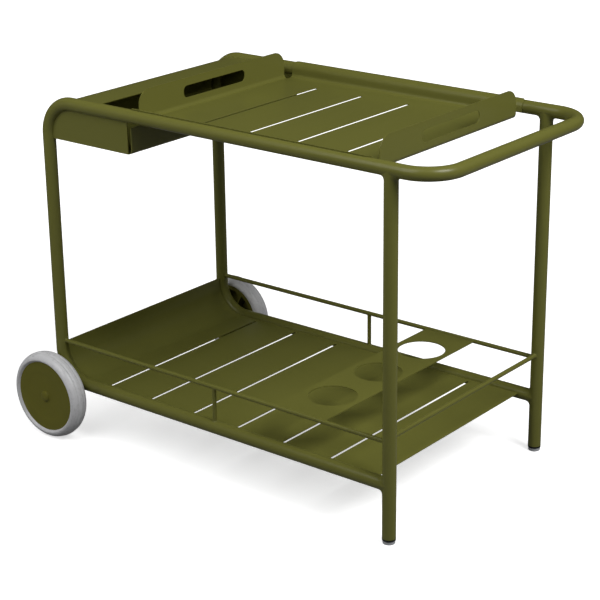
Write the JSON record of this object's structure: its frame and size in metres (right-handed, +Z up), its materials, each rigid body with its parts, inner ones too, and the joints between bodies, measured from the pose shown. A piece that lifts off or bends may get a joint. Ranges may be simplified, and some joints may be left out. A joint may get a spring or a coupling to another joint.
{
  "type": "bar cart",
  "caption": "Outdoor bar cart with a bent tube frame, slotted shelf, guard rods, bottle holder, lift-off tray, storage bin and two wheels.",
  "frame": {"origin": "centre of the cart's box at floor level", "axes": "+X from the wheels towards the push handle, +Z up, and +Y follows by the right-hand rule"},
  "size_m": [0.991, 0.599, 0.7175],
  "materials": {
    "frame_paint": "satin olive green powder coat",
    "tray_paint": "satin olive green powder coat",
    "hub_plastic": "moulded olive green plastic",
    "tyre_rubber": "light grey rubber",
    "foot_plastic": "pale grey plastic",
    "black_plastic": "black plastic",
    "axle_steel": "plain steel"
  },
  "bodies": {
    "frame": {"front_leg_left": "frame_paint", "front_leg_right": "frame_paint", "rear_upright_left": "frame_paint", "rear_upright_right": "frame_paint", "lower_rail_left": "frame_paint", "lower_rail_right": "frame_paint", "lower_bend_left": "frame_paint", "lower_bend_right": "frame_paint", "upper_bend_left": "frame_paint", "upper_bend_right": "frame_paint", "top_rail_left": "frame_paint", "top_rail_right": "frame_paint", "handle_corner_left": "frame_paint", "handle_corner_right": "frame_paint", "handle_bar": "frame_paint", "guard_rod_left": "frame_paint", "guard_rod_right": "frame_paint", "guard_rod_front": "frame_paint", "guard_post_left": "frame_paint", "guard_post_right": "frame_paint", "bottle_holder": "frame_paint", "shelf": "frame_paint", "bin_shell": "frame_paint", "bin_end_plate_left": "frame_paint", "bin_end_plate_right": "frame_paint", "wheel_bracket_left": "frame_paint", "wheel_bracket_right": "frame_paint", "foot_plug_left": "black_plastic", "foot_pad_left": "foot_plastic", "wheel_spacer_left": "axle_steel", "axle_washer_left": "axle_steel", "axle_clip_left": "axle_steel", "foot_plug_right": "black_plastic", "foot_pad_right": "foot_plastic", "wheel_spacer_right": "axle_steel", "axle_washer_right": "axle_steel", "axle_clip_right": "axle_steel", "axle": "axle_steel"},
    "wheel_left": {"wheel_hub_left": "hub_plastic", "tyre_left": "tyre_rubber", "inner_bush_left": "black_plastic", "outer_bush_left": "black_plastic", "wheel_cap_left": "hub_plastic"},
    "wheel_right": {"wheel_hub_right": "hub_plastic", "tyre_right": "tyre_rubber", "inner_bush_right": "black_plastic", "outer_bush_right": "black_plastic", "wheel_cap_right": "hub_plastic"},
    "tray": {"tray_pan": "tray_paint", "tray_rear_panel": "tray_paint", "tray_front_panel": "tray_paint"}
  },
  "joints": [
    {"name": "wheel_left_spin", "type": "hinge", "parent": "frame", "child": "wheel_left", "pos_m": [-0.4075, -0.2795, 0.088], "axis": [0, 1, 0], "continuous": true},
    {"name": "wheel_right_spin", "type": "hinge", "parent": "frame", "child": "wheel_right", "pos_m": [-0.4075, 0.2795, 0.088], "axis": [0, 1, 0], "continuous": true},
    {"name": "tray_lift", "type": "slide", "parent": "frame", "child": "tray", "axis": [0, 0, 1], "range_m": [0, 0.15]}
  ]
}
